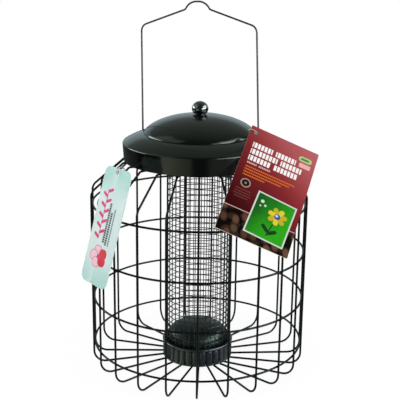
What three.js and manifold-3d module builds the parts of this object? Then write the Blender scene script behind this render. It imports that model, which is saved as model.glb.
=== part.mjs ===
// A squirrel proof peanut feeder. A wire cage stands round a tube of welded mesh, which holds the
// nuts between a fluted cup at its foot and a collar at its top. A painted steel lid covers the tube
// and slides up the two legs of the carrying handle. Two swing tags hang on it by loose loops.
// Units are millimetres: X to the right, Y to the back, Z up. The cage stands on Z = 0, and the
// origin is on the cage's axis, in the flat underside of the hub plate.

import * as THREE from 'three';
import * as BufferGeometryUtils from 'three/addons/utils/BufferGeometryUtils.js';
import Module from 'manifold-3d';

const wasm = await Module();
wasm.setup();

// Fits
const seatGap = 0.3;
const cutOverrun = 5;

// Cage: formed uprights, with hoops inside them
const uprightCount = 23;
const cageRadius = 123.85;
const cageWire = 2.3;
const footBend = 14;
const shoulderHeight = 207.6;
const shoulderBend = 12;
const shoulderSlope = THREE.MathUtils.degToRad(41.6);
const neckRise = 32.9;
const neckBend = 4;
const neckInnerRadius = 76;
const hoopCount = 4;
const lowestHoop = 24.9;
const topHoopDrop = 14.9;
// How far each leg's inner end lies to the left or right of its post, as shares of the hub's radius
const legDriftShares = [
  0.06, 0.08, 0, -0.06, -0.17, -0.04, 0.01, 0.15, 0.16, 0.1, 0.04, 0,
  -0.04, -0.08, -0.1, -0.13, -0.18, -0.22, -0.25, -0.19, -0.06, 0.03, 0.15,
];

// Hub plate and its nut, under the cup
const hubRadius = 30;
const hubThickness = 2.3;
const nutAcrossFlats = 8;
const nutHeight = 3.2;
const screwDiameter = 3;
const screwHeadRadius = 3.2;
const screwHeadHeight = 2;
const threadClearance = 0.3;

// Fluted cup
const cupHeight = 21.6;
const cupTopRadius = 41.7;
const cupFootRadius = 41.1;
const cupFootRound = 0.6;
const cupFlutes = 30;
const fluteDepth = 1.2;
const cupLip = 2.4;
const cupFloor = 2.2;
const cupWell = 34.6;
const cupLedge = 11.6;

// Mesh tube: each of its bars stands for two of the real mesh's wires
const tubeRadius = 37.4;
const tubeWire = 1.4;
const tubeStaves = 8;
const barsPerStave = 2;
const tubeRows = 15;
const tubeTopInset = 0.85;

// Deflector dome in the foot of the tube
const deflectorHeight = 34.5;
const deflectorShoulder = 19.7;
const deflectorPowerShare = 0.77;
const deflectorWall = 1.4;
const deflectorClearance = 0.5;

// Top plate and the collar round the tube
const plateRadius = 83.2;
const plateThickness = 1.5;
const collarWall = 0.8;
const collarDepth = 9;
const collarRise = 5;
const collarFlange = 6;

// Lid
const lidWall = 1.2;
const lidFootRadius = 86;
const lidEdgeRadius = 87.3;
const lidSkirtHeight = 20.2;
const lidEdgeRound = 2.2;
const lidCreaseRadius = 63.5;
const lidCreaseHeight = 30.2;
const brimCrown = 1.3;
const domeRise = 21.65;
const domePowerShare = 0.65;

// Knob
const knobRadius = 9.35;
const knobHalfHeight = 8.5;
const knobNeckRadius = 6.2;
const knobFootRadius = 6.9;
const knobFootHeight = 0.9;
const knobCentreHeight = 5.8;
const knobBore = 8;

// Handle: a bent wire in one upright plane
const handleWire = 2;
const handleYaw = THREE.MathUtils.degToRad(-22);
const handleLeanShare = 0.0264;
const handleFootHalf = 71;
const handleCornerHalf = 68.2;
const handleCornerDrop = 26.55;
const handleCornerBend = 8.7;
const humpFootHalf = 14.45;
const humpRise = 8.45;
const humpFootBend = 4;
const humpHeight = 417.15;
const humpBend = 14;
const humpSide = THREE.MathUtils.degToRad(60);
const handleToeLength = 8;
const handleToeBend = 2;
const lidTravel = 100;
const lidHoleClearance = 0.5;
const plateHoleClearance = 0.8;

// Swing card, of thin board
const cardWidth = 79.4;
const cardHeight = 138.6;
const cardThickness = 0.8;
const cardHang = new THREE.Vector3(8.15, -68.35, -44.75);
const cardYaw = THREE.MathUtils.degToRad(21.7);
const cardLean = THREE.MathUtils.degToRad(43.6);
const cardTurn = THREE.MathUtils.degToRad(33.1);
const cardHoleRadius = 2.4;
const cardHoleInset = new THREE.Vector2(7, 8);
const cardCorner = 1;

// Swing tag, of soft plastic
const tagWidth = 50;
const tagHeight = 127;
const tagThickness = 1;
const tagHang = new THREE.Vector3(-17.6, -45.05, -50.8);
const tagYaw = THREE.MathUtils.degToRad(-52.6);
const tagLean = THREE.MathUtils.degToRad(16.3);
const tagHoleRadius = 2.6;
const tagHoleInset = 4.6;
const tagCorner = 12;

// Loops that carry the two tags
const loopWire = 1;
const loopReach = 2.8;
const loopSide = 3.2;
const loopStandoff = 2.4;
const cardLoopRise = 34.15;
const tagLoopInset = 33.35;
const tagUpright = -4;

// Facets
const wireSides = 6;
const handleSides = 8;
const ringSegments = 44;
const lidSegments = 48;
const tubeSegments = 32;
const smallSegments = 20;
const bendSteps = 3;
const loopSteps = 28;

// Finishes
const finish = (color, roughness, metalness) => new THREE.MeshStandardMaterial({ color, roughness, metalness });
const blackWire = finish(0x14171a, 0.4, 0.6);
const lidPaint = finish(0x1f2825, 0.2, 0.5);
const knobGloss = finish(0x08090a, 0.15, 0);
const cupPlastic = finish(0x1b2233, 0.35, 0);
const deflectorPlastic = finish(0x12151c, 0.45, 0);
const zincSteel = finish(0x8f9190, 0.4, 0.9);
const handleSteel = finish(0x55534f, 0.4, 0.8);
const redCard = finish(0xa52a30, 0.5, 0);
const mintPlastic = finish(0xc4e2d9, 0.4, 0);
const cordNylon = finish(0xd8d2b4, 0.5, 0);

const feeder = new THREE.Group();

// Turns every face of a closed shape outwards
function facingOut(geometry) {
  const place = geometry.attributes.position;
  const index = geometry.index ? geometry.index.array : [...Array(place.count).keys()];
  const corner = [new THREE.Vector3(), new THREE.Vector3(), new THREE.Vector3()];
  let volume = 0;
  for (let i = 0; i < index.length; i += 3) {
    corner.forEach((point, k) => point.fromBufferAttribute(place, index[i + k]));
    volume += corner[0].dot(corner[1].clone().cross(corner[2]));
  }
  if (volume < 0) {
    const turned = [];
    for (let i = 0; i < index.length; i += 3) turned.push(index[i], index[i + 2], index[i + 1]);
    geometry.setIndex(turned);
  }
  return geometry;
}

function piece(name, geometry, material, parent = feeder) {
  const mesh = new THREE.Mesh(geometry, material);
  mesh.name = name;
  parent.add(mesh);
  return mesh;
}

// Solid for cutting and joining
function solid(geometry) {
  const bare = geometry.clone();
  for (const name of Object.keys(bare.attributes)) if (name !== 'position') bare.deleteAttribute(name);
  const merged = BufferGeometryUtils.mergeVertices(bare, 1e-4);
  const triangles = [];
  for (let i = 0; i < merged.index.count; i += 3) {
    const [a, b, c] = [0, 1, 2].map((k) => merged.index.getX(i + k));
    if (a !== b && b !== c && c !== a) triangles.push(a, b, c);
  }
  return new wasm.Manifold(new wasm.Mesh({
    numProp: 3,
    vertProperties: new Float32Array(merged.attributes.position.array),
    triVerts: new Uint32Array(triangles),
  }));
}

function shape(manifold) {
  const { numProp, vertProperties, triVerts } = manifold.getMesh();
  const geometry = new THREE.BufferGeometry();
  geometry.setAttribute('position', new THREE.BufferAttribute(new Float32Array(vertProperties), numProp));
  geometry.setIndex([...triVerts]);
  return geometry;
}

// Turned shape about Z, from [radius, height] points that close on themselves or on the axis
function turned(outline, segments) {
  const points = outline.map(([radius, height]) => new THREE.Vector2(radius, height));
  return facingOut(new THREE.LatheGeometry(points, segments).rotateX(Math.PI / 2));
}

function cylinder(radius, bottom, top, segments = smallSegments) {
  const barrel = new THREE.CylinderGeometry(radius, radius, top - bottom, segments);
  return barrel.rotateX(Math.PI / 2).translate(0, 0, (top + bottom) / 2);
}

// Path through corners, each rounded to its own radius
function bentPath(corners) {
  const path = [corners[0].at];
  for (let i = 1; i < corners.length - 1; i += 1) {
    const { at, radius } = corners[i];
    const back = corners[i - 1].at.clone().sub(at).normalize();
    const on = corners[i + 1].at.clone().sub(at).normalize();
    const half = Math.acos(back.dot(on)) / 2;
    const centre = back.clone().add(on).normalize().multiplyScalar(radius / Math.sin(half)).add(at);
    const start = back.clone().multiplyScalar(radius / Math.tan(half)).add(at);
    const turn = Math.sign(on.cross(back)) * (Math.PI - 2 * half);
    for (let step = 0; step <= bendSteps; step += 1) {
      path.push(start.clone().rotateAround(centre, turn * step / bendSteps));
    }
  }
  path.push(corners[corners.length - 1].at);
  return path;
}

// Straight lengths of wire with mitred joints, its flats touching the round wire
function rod(points, across, diameter, sides) {
  const headings = points.slice(1).map((point, i) => point.clone().sub(points[i]).normalize());
  const reach = diameter / 2 / Math.cos(Math.PI / sides);
  const up = across.clone().cross(headings[0]).normalize();
  let offsets = [...Array(sides).keys()].map((k) => {
    const angle = (2 * k + 1) * Math.PI / sides;
    return up.clone().multiplyScalar(reach * Math.cos(angle)).addScaledVector(across, reach * Math.sin(angle));
  });
  const corners = [];
  points.forEach((point, i) => {
    const before = headings[Math.max(i - 1, 0)];
    const after = headings[Math.min(i, headings.length - 1)];
    const mitre = before.clone().add(after).normalize();
    offsets = offsets.map((offset) => {
      const slide = -offset.dot(mitre) / before.dot(mitre);
      const onMitre = offset.clone().addScaledVector(before, slide);
      corners.push(point.clone().add(onMitre));
      return onMitre.clone().addScaledVector(after, -onMitre.dot(after));
    });
  });
  return skin(corners, points.length, sides, false);
}

// Faces over rings of points, joined end to start or capped
function skin(corners, rings, sides, closed) {
  const faces = [];
  const spans = closed ? rings : rings - 1;
  for (let i = 0; i < spans; i += 1) {
    const next = (i + 1) % rings;
    for (let k = 0; k < sides; k += 1) {
      const side = (k + 1) % sides;
      const [a, b, c, d] = [i * sides + k, i * sides + side, next * sides + side, next * sides + k];
      faces.push(a, b, c, a, c, d);
    }
  }
  if (!closed) {
    const last = (rings - 1) * sides;
    for (let k = 1; k < sides - 1; k += 1) faces.push(0, k + 1, k, last, last + k, last + k + 1);
  }
  const geometry = new THREE.BufferGeometry().setFromPoints(corners);
  geometry.setIndex(faces);
  return facingOut(geometry);
}

// Closed loop of cord through points
function cordLoop(points) {
  const curve = new THREE.CatmullRomCurve3(points, true, 'centripetal');
  const { normals, binormals } = curve.computeFrenetFrames(loopSteps, true);
  const reach = loopWire / 2;
  const corners = [];
  for (let i = 0; i < loopSteps; i += 1) {
    const centre = curve.getPointAt(i / loopSteps);
    for (let k = 0; k < wireSides; k += 1) {
      const angle = 2 * Math.PI * k / wireSides;
      const out = normals[i].clone().multiplyScalar(reach * Math.cos(angle));
      corners.push(centre.clone().add(out).addScaledVector(binormals[i], reach * Math.sin(angle)));
    }
  }
  return skin(corners, loopSteps, wireSides, true);
}

const wireHalf = cageWire / 2;
const uprightAngle = (number) => 2 * Math.PI * number / uprightCount;
const flat = (radius, height) => new THREE.Vector2(radius, height);
const inFront = (point) => new THREE.Vector3(0, -point.x, point.y);
const neckHeight = shoulderHeight + neckRise;
const slopeRun = neckRise / Math.tan(shoulderSlope);

// Cage uprights: leg, post, shoulder and neck are one bent wire
const upright = bentPath([
  { at: flat(hubRadius + seatGap, wireHalf) },
  { at: flat(cageRadius, wireHalf), radius: footBend },
  { at: flat(cageRadius, shoulderHeight), radius: shoulderBend },
  { at: flat(cageRadius - slopeRun, neckHeight), radius: neckBend },
  { at: flat(neckInnerRadius, neckHeight) },
]).map(inFront);
for (let number = 0; number < uprightCount; number += 1) {
  const geometry = rod(upright, new THREE.Vector3(1, 0, 0), cageWire, wireSides);
  const place = geometry.attributes.position;
  const drift = hubRadius * legDriftShares[number % legDriftShares.length];
  for (let i = 0; i < wireSides; i += 1) place.setX(i, place.getX(i) + drift);
  const wire = piece(`cage_upright_${String(number + 1).padStart(2, '0')}`, geometry, blackWire);
  wire.rotation.z = uprightAngle(number);
}

// Hoops, welded inside the uprights
const hoopRadius = cageRadius - wireHalf - seatGap - wireHalf;
for (let number = 0; number < hoopCount; number += 1) {
  const hoop = new THREE.TorusGeometry(hoopRadius, wireHalf, wireSides, ringSegments);
  const height = THREE.MathUtils.lerp(lowestHoop, shoulderHeight - topHoopDrop, number / (hoopCount - 1));
  piece(`cage_hoop_${number + 1}`, facingOut(hoop), blackWire).position.z = height;
}

// Hub plate, with its weld nut on top
const hubNutTop = hubThickness + nutHeight;
const nut = cylinder(nutAcrossFlats / 2 / Math.cos(Math.PI / 6), 0, hubNutTop, 6);
const tapping = cylinder(screwDiameter / 2 + threadClearance, hubThickness, hubNutTop + cutOverrun);
const hubDisc = cylinder(hubRadius, 0, hubThickness, tubeSegments);
piece('hub_plate', shape(solid(hubDisc).add(solid(nut)).subtract(solid(tapping))), blackWire);

// Cup: stands on the legs, with a well round the nut and a ledge for the tube
const cupFootHeight = cageWire + seatGap;
const cupTopHeight = cupFootHeight + cupHeight;
const cupFloorTop = hubNutTop + seatGap + cupFloor;
const ledgeHeight = cupFootHeight + cupLedge;
const tubeSeatRadius = tubeRadius + seatGap;
const nutWell = nutAcrossFlats / 2 / Math.cos(Math.PI / 6) + 2 * seatGap;
const cupScrewHole = screwDiameter / 2 + seatGap;
const cup = turned([
  [nutWell, cupFootHeight],
  [cupFootRadius - cupFootRound, cupFootHeight],
  [cupFootRadius, cupFootHeight + cupFootRound],
  [cupTopRadius - fluteDepth, cupTopHeight - cupLip - fluteDepth],
  [cupTopRadius, cupTopHeight - cupLip],
  [cupTopRadius, cupTopHeight],
  [tubeSeatRadius, cupTopHeight],
  [tubeSeatRadius, ledgeHeight],
  [cupWell, ledgeHeight],
  [cupWell, cupFloorTop],
  [cupScrewHole, cupFloorTop],
  [cupScrewHole, hubNutTop + seatGap],
  [nutWell, hubNutTop + seatGap],
  [nutWell, cupFootHeight],
], 2 * cupFlutes);
const cupPlace = cup.attributes.position;
const fluteTop = cupTopHeight - cupLip;
for (let i = 0; i < cupPlace.count; i += 1) {
  const [x, y, z] = [cupPlace.getX(i), cupPlace.getY(i), cupPlace.getZ(i)];
  const radius = Math.hypot(x, y);
  const outside = radius > tubeSeatRadius + seatGap && z < fluteTop;
  const wave = Math.cos(cupFlutes * Math.atan2(x, y));
  const fluted = outside ? (radius + fluteDepth / 2 * (wave - 1)) / radius : 1;
  cupPlace.setXY(i, x * fluted, y * fluted);
}
piece('base_cup', cup, cupPlastic);

// Deflector dome: a thin shell that stands on the cup's floor and sheds nuts to the mesh
const deflectorRadius = cupWell - deflectorClearance;
const deflectorFoot = cupFloorTop + seatGap;
const deflectorCurve = (radius, wall) => {
  const points = [];
  const rise = deflectorHeight - deflectorShoulder;
  for (let step = 0; step <= bendSteps + 1; step += 1) {
    const angle = Math.PI / 2 * step / (bendSteps + 1);
    const height = deflectorFoot + deflectorShoulder + (rise - wall) * Math.sin(angle) ** deflectorPowerShare;
    points.push([step > bendSteps ? 0 : radius * Math.cos(angle) ** deflectorPowerShare, height]);
  }
  return points;
};
piece('deflector_dome', turned([
  ...deflectorCurve(deflectorRadius - deflectorWall, deflectorWall).reverse(),
  [deflectorRadius - deflectorWall, deflectorFoot],
  [deflectorRadius, deflectorFoot],
  ...deflectorCurve(deflectorRadius, 0),
], tubeSegments), deflectorPlastic);

// Base screw: holds the cup to the hub nut
const baseScrewTop = cupFloorTop + seatGap + screwHeadHeight;
piece('base_screw', turned([
  [0, hubThickness + seatGap],
  [screwDiameter / 2, hubThickness + seatGap],
  [screwDiameter / 2, cupFloorTop + seatGap],
  [screwHeadRadius, cupFloorTop + seatGap],
  [screwHeadRadius, baseScrewTop],
  [0, baseScrewTop],
], smallSegments), zincSteel);

// Mesh tube, in staves: each has its bars, and rings that end just short of the next stave
const plateBottom = neckHeight + wireHalf + seatGap;
const plateTop = plateBottom + plateThickness;
const tubeTopHeight = plateTop + collarRise - tubeTopInset;
const barAngle = tubeWire / tubeRadius;
const columnAngle = 2 * Math.PI / (tubeStaves * barsPerStave);
const ringPitch = (tubeTopHeight - ledgeHeight - seatGap - tubeWire) / tubeRows;
function meshStave(stave) {
  const angles = [];
  for (let bar = 0; bar < barsPerStave; bar += 1) {
    const middle = (stave * barsPerStave + bar) * columnAngle;
    angles.push(middle - barAngle / 2, middle + barAngle / 2);
  }
  angles.push((stave + 1) * barsPerStave * columnAngle - barAngle / 2 - seatGap / tubeRadius);
  const corners = [];
  for (let row = 0; row <= tubeRows; row += 1) {
    const ringBottom = ledgeHeight + seatGap + row * ringPitch;
    for (const height of [ringBottom, ringBottom + tubeWire]) {
      for (const angle of angles) {
        for (const radius of [tubeRadius, tubeRadius - tubeWire]) {
          corners.push(new THREE.Vector3(radius * Math.sin(angle), -radius * Math.cos(angle), height));
        }
      }
    }
  }
  const topLevel = 2 * tubeRows + 1;
  const lastSpot = angles.length - 1;
  const at = (level, spot, inner) => (level * angles.length + spot) * 2 + inner;
  const faces = [];
  const quad = (a, b, c, d) => faces.push(a, b, c, a, c, d);
  for (let level = 0; level <= topLevel; level += 1) {
    const ring = level % 2 === 0;
    for (let a = 0; a < lastSpot; a += 1) {
      const b = a + 1;
      const bar = a % 2 === 0;
      if (level < topLevel && (ring || bar)) {
        quad(at(level, a, 0), at(level, b, 0), at(level + 1, b, 0), at(level + 1, a, 0));
        quad(at(level, a, 1), at(level + 1, a, 1), at(level + 1, b, 1), at(level, b, 1));
      }
      if (level < topLevel && (a === 0 || (!ring && bar))) {
        quad(at(level, a, 1), at(level, a, 0), at(level + 1, a, 0), at(level + 1, a, 1));
      }
      if (level < topLevel && (ring ? b === lastSpot : bar)) {
        quad(at(level, b, 0), at(level, b, 1), at(level + 1, b, 1), at(level + 1, b, 0));
      }
      if (ring && (!bar || level === 0)) {
        quad(at(level, a, 1), at(level, b, 1), at(level, b, 0), at(level, a, 0));
      }
      if (!ring && (!bar || level === topLevel)) {
        quad(at(level, a, 0), at(level, b, 0), at(level, b, 1), at(level, a, 1));
      }
    }
  }
  const geometry = new THREE.BufferGeometry().setFromPoints(corners);
  geometry.setIndex(faces);
  return facingOut(geometry);
}
for (let stave = 0; stave < tubeStaves; stave += 1) {
  piece(`mesh_tube_${stave + 1}`, meshStave(stave), blackWire);
}

// Top plate: a steel ring on the necks of the uprights, with holes for the handle's legs
const collarRadius = tubeSeatRadius + collarWall;
const handleCornerHeight = humpHeight - handleCornerDrop;
const handleLeg = (height) => {
  const climb = (height - plateBottom) / (handleCornerHeight - plateBottom);
  return THREE.MathUtils.lerp(handleFootHalf, handleCornerHalf, climb);
};
const handleAlong = new THREE.Vector3(Math.cos(handleYaw), Math.sin(handleYaw), 0);
const handlePoint = (along, height) => {
  const climb = (height - plateBottom) / (handleCornerHeight - plateBottom);
  const leaning = along - handleLeanShare * (height - plateBottom);
  return handleAlong.clone().multiplyScalar(leaning).setZ(height + handleLeanShare * along * climb);
};
let plate = solid(turned([
  [collarRadius + seatGap, plateBottom],
  [plateRadius, plateBottom],
  [plateRadius, plateTop],
  [collarRadius + seatGap, plateTop],
  [collarRadius + seatGap, plateBottom],
], ringSegments));
for (const side of [-1, 1]) {
  const spot = handlePoint(side * handleLeg(plateBottom), plateBottom);
  const hole = cylinder(handleWire / 2 + plateHoleClearance, plateBottom - cutOverrun, plateTop + cutOverrun);
  plate = plate.subtract(solid(hole.translate(spot.x, spot.y, 0)));
}
piece('top_plate', shape(plate), blackWire);

// Collar: a flanged sleeve that holds the tube's upper end in the plate
const collarFlangeBottom = plateTop + seatGap;
piece('tube_collar', turned([
  [tubeSeatRadius, plateBottom - collarDepth],
  [collarRadius, plateBottom - collarDepth],
  [collarRadius, collarFlangeBottom],
  [collarRadius + collarFlange, collarFlangeBottom],
  [collarRadius + collarFlange, collarFlangeBottom + collarWall],
  [collarRadius, collarFlangeBottom + collarWall],
  [collarRadius, plateTop + collarRise],
  [tubeSeatRadius, plateTop + collarRise],
  [tubeSeatRadius, plateBottom - collarDepth],
], tubeSegments), blackWire);

// Lid: one spun shell, with an edge bead, a shallow brim, a crease and a dome
const lid = new THREE.Group();
const lidSeat = neckHeight + wireHalf + seatGap;
lid.position.z = lidSeat;
feeder.add(lid);
const knobHole = screwDiameter / 2 + seatGap;
const domeHeight = (radius) => {
  const reach = radius / lidCreaseRadius;
  return lidCreaseHeight + domeRise * (1 - reach * reach) ** domePowerShare;
};
const edgeHeight = lidSkirtHeight;
const brimHeight = (radius) => {
  const along = (lidEdgeRadius - radius) / (lidEdgeRadius - lidCreaseRadius);
  const crown = 4 * brimCrown * along * (1 - along);
  return THREE.MathUtils.lerp(edgeHeight, lidCreaseHeight, along) + crown;
};
const brimShares = [0.12, 0.4, 0.7];
const domeShares = [1, 0.985, 0.93, 0.84, 0.7, 0.52, 0.3];
const lidOuter = [[lidFootRadius, 0], [lidEdgeRadius, lidSkirtHeight - lidEdgeRound]];
for (const share of brimShares) {
  const radius = THREE.MathUtils.lerp(lidEdgeRadius, lidCreaseRadius, share);
  lidOuter.push([radius, brimHeight(radius)]);
}
for (const share of domeShares) {
  const radius = lidCreaseRadius * share;
  lidOuter.push([radius, domeHeight(radius)]);
}
lidOuter.push([knobHole, domeHeight(knobHole)]);
const lidInner = lidOuter.map(([radius, height], i) => {
  if (i === 0) return [radius - lidWall, height];
  if (i === lidOuter.length - 1) return [radius, height - lidWall];
  const [before, after] = [lidOuter[i - 1], lidOuter[i + 1]];
  const across = new THREE.Vector2(after[0] - before[0], after[1] - before[1]).normalize();
  return [radius - across.y * lidWall, height + across.x * lidWall];
});
let lidShell = solid(turned([...lidOuter, ...lidInner.reverse(), lidOuter[0]], lidSegments));
const holeLevel = lidSeat + (lidSkirtHeight + lidCreaseHeight) / 2;
const legAtRest = handleLeg(holeLevel);
const legWhenRaised = handleLeg(holeLevel + lidTravel);
const lidHoleRadius = (handleWire + legAtRest - legWhenRaised) / 2 + lidHoleClearance;
for (const side of [-1, 1]) {
  const hole = cylinder(lidHoleRadius, lidSkirtHeight, lidCreaseHeight + cutOverrun);
  const spot = handlePoint(side * (legAtRest + legWhenRaised) / 2, holeLevel);
  lidShell = lidShell.subtract(solid(hole.translate(spot.x, spot.y, 0)));
}
piece('lid_shell', shape(lidShell), lidPaint, lid);

// Knob: a turned ball on a neck and a flat foot, bored for its screw
const apexHeight = domeHeight(knobHole);
const knobBase = apexHeight + seatGap;
const knobProfile = [[knobFootRadius, 0], [knobFootRadius, knobFootHeight / 2], [knobNeckRadius, knobFootHeight]];
const ballShares = [-0.5, -0.2, 0.15, 0.5, 0.82];
for (const share of ballShares) {
  const radius = knobRadius * Math.sqrt(1 - share * share);
  knobProfile.push([radius, knobCentreHeight + knobHalfHeight * share]);
}
piece('knob', turned([
  [0, knobBore],
  [knobHole, knobBore],
  [knobHole, 0],
  ...knobProfile,
  [0, knobCentreHeight + knobHalfHeight],
], smallSegments), knobGloss, lid).position.z = knobBase;
const knobScrewHead = apexHeight - lidWall - seatGap;
piece('knob_screw', turned([
  [0, knobScrewHead - screwHeadHeight],
  [screwHeadRadius, knobScrewHead - screwHeadHeight],
  [screwHeadRadius, knobScrewHead],
  [screwDiameter / 2, knobScrewHead],
  [screwDiameter / 2, knobBase + knobBore - seatGap],
  [0, knobBase + knobBore - seatGap],
], smallSegments), zincSteel, lid);

// Handle: toes hooked under the plate, legs up through the lid, corners, and a hump to hang by
const toeHeight = plateBottom - seatGap - handleWire / 2;
const humpCorner = humpFootHalf - humpRise / Math.tan(humpSide);
const handleHalf = bentPath([
  { at: flat(handleFootHalf - handleToeLength, toeHeight) },
  { at: flat(handleFootHalf, toeHeight), radius: handleToeBend },
  { at: flat(handleCornerHalf, handleCornerHeight), radius: handleCornerBend },
  { at: flat(humpFootHalf, humpHeight - humpRise), radius: humpFootBend },
  { at: flat(humpCorner, humpHeight), radius: humpBend },
  { at: flat(0, humpHeight) },
]);
const handlePath = [
  ...handleHalf.map((point) => handlePoint(-point.x, point.y)),
  ...handleHalf.slice(0, -1).reverse().map((point) => handlePoint(point.x, point.y)),
];
const handleAcross = new THREE.Vector3(-handleAlong.y, handleAlong.x, 0);
piece('handle', rod(handlePath, handleAcross, handleWire, handleSides), handleSteel);

// Flat tag with round corners and one hole, facing the front before it is turned
function flatTag(width, height, thickness, corner, hole, holeAt) {
  const [left, right, bottom, top] = [-width / 2, width / 2, -height / 2, height / 2];
  const outline = new THREE.Shape();
  outline.moveTo(left + corner, bottom);
  outline.lineTo(right - corner, bottom);
  outline.absarc(right - corner, bottom + corner, corner, -Math.PI / 2, 0);
  outline.lineTo(right, top - corner);
  outline.absarc(right - corner, top - corner, corner, 0, Math.PI / 2);
  outline.lineTo(left + corner, top);
  outline.absarc(left + corner, top - corner, corner, Math.PI / 2, Math.PI);
  outline.lineTo(left, bottom + corner);
  outline.absarc(left + corner, bottom + corner, corner, Math.PI, 3 * Math.PI / 2);
  const opening = new THREE.Path();
  opening.absarc(holeAt.x, holeAt.y, hole, 0, 2 * Math.PI, true);
  outline.holes.push(opening);
  const sheet = new THREE.ExtrudeGeometry(outline, { depth: thickness, bevelEnabled: false, curveSegments: bendSteps + 1 });
  return facingOut(sheet.rotateX(Math.PI / 2));
}

function hang(mesh, centre, yaw, lean, turn) {
  mesh.rotation.set(-lean, turn, yaw, 'ZXY');
  mesh.position.copy(centre);
  mesh.updateMatrixWorld();
  return (x, y, z) => mesh.localToWorld(new THREE.Vector3(x, y, z));
}

// Place beside a wire: out is away from the wire towards the hole, over is across the loop
function besideWire(spot, heading, holeAt) {
  const towards = holeAt.clone().sub(spot);
  towards.addScaledVector(heading, -towards.dot(heading)).normalize();
  const across = towards.clone().cross(heading).normalize();
  return (out, over) => spot.clone().addScaledVector(towards, out).addScaledVector(across, over);
}

// Swing card: its loop goes through the corner hole, round the card's edge and the handle's leg
const cardHole = new THREE.Vector2(cardHoleInset.x - cardWidth / 2, cardHeight / 2 - cardHoleInset.y);
const card = piece(
  'swing_card',
  flatTag(cardWidth, cardHeight, cardThickness, cardCorner, cardHoleRadius, cardHole),
  redCard,
);
const cardLoopHeight = lidSeat + cardLoopRise;
const legSpot = handlePoint(handleLeg(cardLoopHeight), cardLoopHeight).setZ(cardLoopHeight);
const onCard = hang(card, legSpot.clone().add(cardHang), cardYaw, cardLean, cardTurn);
const cardEdge = cardHole.x - cardHoleInset.x;
const cardHoleRest = cardHole.x - cardHoleRadius + loopWire;
const besideLeg = besideWire(legSpot, new THREE.Vector3(0, 0, 1), onCard(cardHole.x, 0, cardHole.y));
const legDrawIn = legAtRest - legWhenRaised;
piece('card_loop', cordLoop([
  besideLeg(-loopReach - legDrawIn, 0),
  besideLeg(0, -loopSide),
  onCard(cardHoleRest, loopStandoff, cardHole.y),
  onCard(cardHoleRest, -cardThickness - loopStandoff, cardHole.y),
  onCard(cardEdge, -cardThickness - loopStandoff, cardHole.y),
  onCard(cardEdge - loopStandoff, 0, cardHole.y),
  besideLeg(0, loopSide + legDrawIn),
]), cordNylon);

// Swing tag: its loop goes through the top hole, over the tag's edge and round a sloping wire
const tagHole = new THREE.Vector2(0, tagHeight / 2 - tagHoleInset);
const tag = piece(
  'swing_tag',
  flatTag(tagWidth, tagHeight, tagThickness, tagCorner, tagHoleRadius, tagHole),
  mintPlastic,
);
const tagEdge = tagHole.y + tagHoleInset;
const tagAngle = uprightAngle(tagUpright);
const outward = new THREE.Vector3(Math.sin(tagAngle), -Math.cos(tagAngle), 0);
const wireHeight = shoulderHeight + tagLoopInset * Math.tan(shoulderSlope);
const wireSpot = outward.clone().multiplyScalar(cageRadius - tagLoopInset).setZ(wireHeight);
const onTag = hang(tag, wireSpot.clone().add(tagHang), tagYaw, tagLean, 0);
const wireHeading = outward.clone().multiplyScalar(-Math.cos(shoulderSlope)).setZ(Math.sin(shoulderSlope));
const besideSlope = besideWire(wireSpot, wireHeading, onTag(0, 0, tagHole.y));
piece('tag_loop', cordLoop([
  besideSlope(-loopReach, 0),
  besideSlope(0, -loopSide),
  onTag(0, loopStandoff, tagHole.y),
  onTag(0, -tagThickness - loopStandoff, tagHole.y),
  onTag(0, -tagThickness - loopStandoff, tagEdge),
  onTag(0, 0, tagEdge + loopStandoff),
  besideSlope(0, loopSide),
]), cordNylon);

export default feeder;
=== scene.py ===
from math import asin, atan2, cos, pi, radians, sin, tan

import bmesh
import bpy
from mathutils import Matrix, Vector
from mathutils.geometry import tessellate_polygon


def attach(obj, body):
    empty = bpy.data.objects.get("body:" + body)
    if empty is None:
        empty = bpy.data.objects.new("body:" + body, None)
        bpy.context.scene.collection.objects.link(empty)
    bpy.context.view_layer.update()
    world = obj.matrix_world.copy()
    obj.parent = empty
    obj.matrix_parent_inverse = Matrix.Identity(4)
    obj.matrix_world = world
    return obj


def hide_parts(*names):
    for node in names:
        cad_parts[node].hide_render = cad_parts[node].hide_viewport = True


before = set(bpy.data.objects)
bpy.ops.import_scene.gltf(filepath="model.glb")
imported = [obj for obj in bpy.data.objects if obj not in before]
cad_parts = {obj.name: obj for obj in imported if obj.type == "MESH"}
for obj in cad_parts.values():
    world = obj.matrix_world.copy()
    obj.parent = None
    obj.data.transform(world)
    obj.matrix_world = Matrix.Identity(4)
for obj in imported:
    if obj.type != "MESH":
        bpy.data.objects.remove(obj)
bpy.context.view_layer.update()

scene = bpy.context.scene
scene.view_settings.view_transform = "Standard"
mm = 0.001

# Camera
# Stands a metre in front of the feeder, a little above its middle, and looks slightly down on the
# lid. The lens and the small turn and roll follow the cage's verticals in the photograph.
camera_place = (0, -1.0044, 0.46995)
camera_down = radians(15.392)
camera_turn = radians(-0.063)
camera_roll = radians(0.688)
camera_lens = 81.33
film_width = 36
lens = bpy.data.cameras.new("camera")
lens.lens = camera_lens
lens.sensor_width = film_width
camera = bpy.data.objects.new("camera", lens)
camera.matrix_world = (
    Matrix.Translation(camera_place)
    @ Matrix.Rotation(camera_turn, 4, "Z")
    @ Matrix.Rotation(pi / 2 - camera_down, 4, "X")
    @ Matrix.Rotation(camera_roll, 4, "Z")
)
scene.collection.objects.link(camera)
scene.camera = camera

# Studio
# A white sweep behind and under the feeder, two soft lamps in front and a dim room above and
# before them. The camera sees white all round, and gloss shows the room and the lamps' soft panels.


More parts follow.
